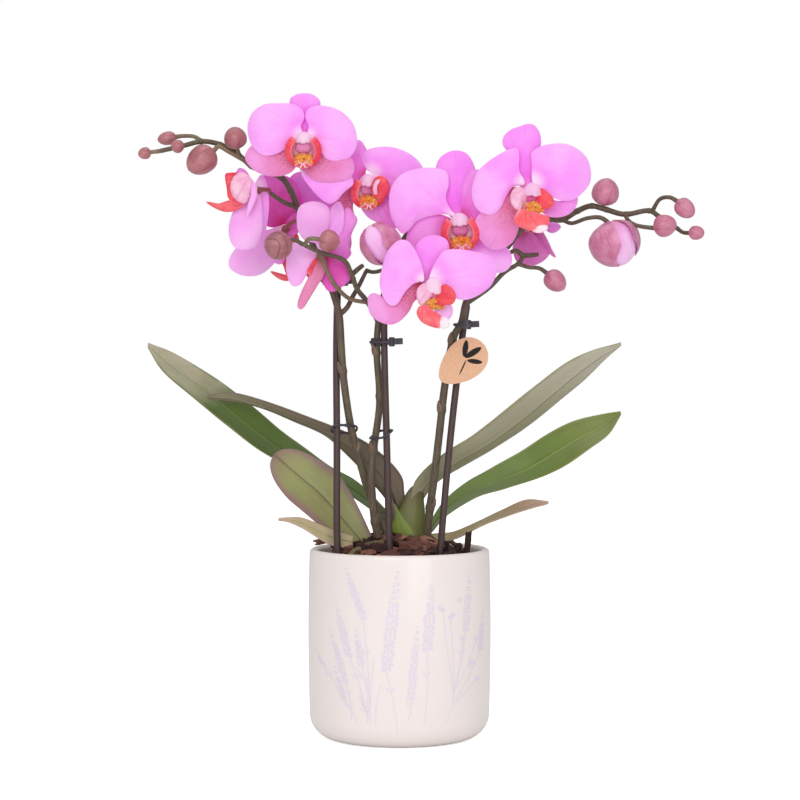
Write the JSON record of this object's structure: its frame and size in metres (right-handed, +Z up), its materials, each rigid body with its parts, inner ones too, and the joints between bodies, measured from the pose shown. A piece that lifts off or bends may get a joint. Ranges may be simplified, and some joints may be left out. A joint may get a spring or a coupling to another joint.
{
  "type": "potted orchid",
  "caption": "Pink moth orchid in bloom: arching flower stalks held to sticks by clips above strap leaves, potted in bark in a cream glazed pot.",
  "frame": {"origin": "centre of the flat base of the ceramic pot, on the surface it stands on", "axes": "+Z up along the pot's axis, which is the plant's longest extent; -Y is the front, the side that most of the flowers face; +X to the right as seen from the front"},
  "size_m": [0.3211, 0.1371, 0.3695],
  "materials": {
    "cream_glaze": "glossy cream glaze with a pale lilac sprig print",
    "nursery_plastic": "matt black moulded plastic",
    "bark": "rough dry bark",
    "stem_green": "smooth waxy plant skin",
    "root": "dry corky root skin",
    "leaf_green": "waxy dark green leaf",
    "leaf_grey": "matt grey-green leaf underside",
    "leaf_olive": "waxy olive leaf with purple edges",
    "stick_plastic": "dark purple-brown satin plastic",
    "stalk_skin": "olive-brown waxy stalk",
    "bud_skin": "dusty rose bud, satin",
    "petal_pink": "soft pink petal with fine veins",
    "lip_red": "coral red lip with a yellow striped callus",
    "clip_plastic": "dark purple-black plastic",
    "tag_kraft": "uncoated kraft card, blank"
  },
  "bodies": {
    "root": {"ceramic_pot": "cream_glaze", "grow_pot": "nursery_plastic", "bark_bed": "bark", "stem_base": "stem_green", "aerial_root_left": "root", "aerial_root_right": "root", "leaf_left_long": "leaf_green", "leaf_right_middle": "leaf_green", "leaf_left_arched": "leaf_grey", "leaf_right_high": "leaf_grey", "leaf_left_broad": "leaf_olive", "leaf_left_low": "leaf_olive", "leaf_right_low": "leaf_olive", "support_stick_left": "stick_plastic", "support_stick_middle": "stick_plastic", "support_stick_right": "stick_plastic", "flower_stalk_left": "stalk_skin", "flower_stalk_middle": "stalk_skin", "flower_stalk_right": "stalk_skin", "bud_left_tip": "bud_skin", "bud_left_front": "bud_skin", "bud_left_upper": "bud_skin", "bud_left_large": "bud_skin", "bud_left_near": "bud_skin", "bud_middle_left": "bud_skin", "bud_middle_right": "bud_skin", "bud_middle_opening": "bud_skin", "bud_right_upper": "bud_skin", "bud_right_opening": "bud_skin", "bud_right_middle": "bud_skin", "bud_right_high": "bud_skin", "bud_right_tip": "bud_skin", "bud_right_lower": "bud_skin", "flower_left_top": "petal_pink", "flower_left_side": "petal_pink", "flower_left_back": "petal_pink", "flower_middle_back": "petal_pink", "flower_middle_top": "petal_pink", "flower_middle_large": "petal_pink", "flower_right_top": "petal_pink", "flower_middle_low": "petal_pink", "flower_right_back": "petal_pink", "lip_left_top": "lip_red", "lip_left_side": "lip_red", "lip_left_back": "lip_red", "lip_middle_back": "lip_red", "lip_middle_top": "lip_red", "lip_middle_large": "lip_red", "lip_right_top": "lip_red", "lip_middle_low": "lip_red", "lip_right_back": "lip_red", "clip_left_lower": "clip_plastic", "clip_left_upper": "clip_plastic", "clip_middle_lower": "clip_plastic", "clip_middle_upper": "clip_plastic", "clip_right_upper": "clip_plastic", "plant_tag": "tag_kraft"}
  },
  "joints": []
}
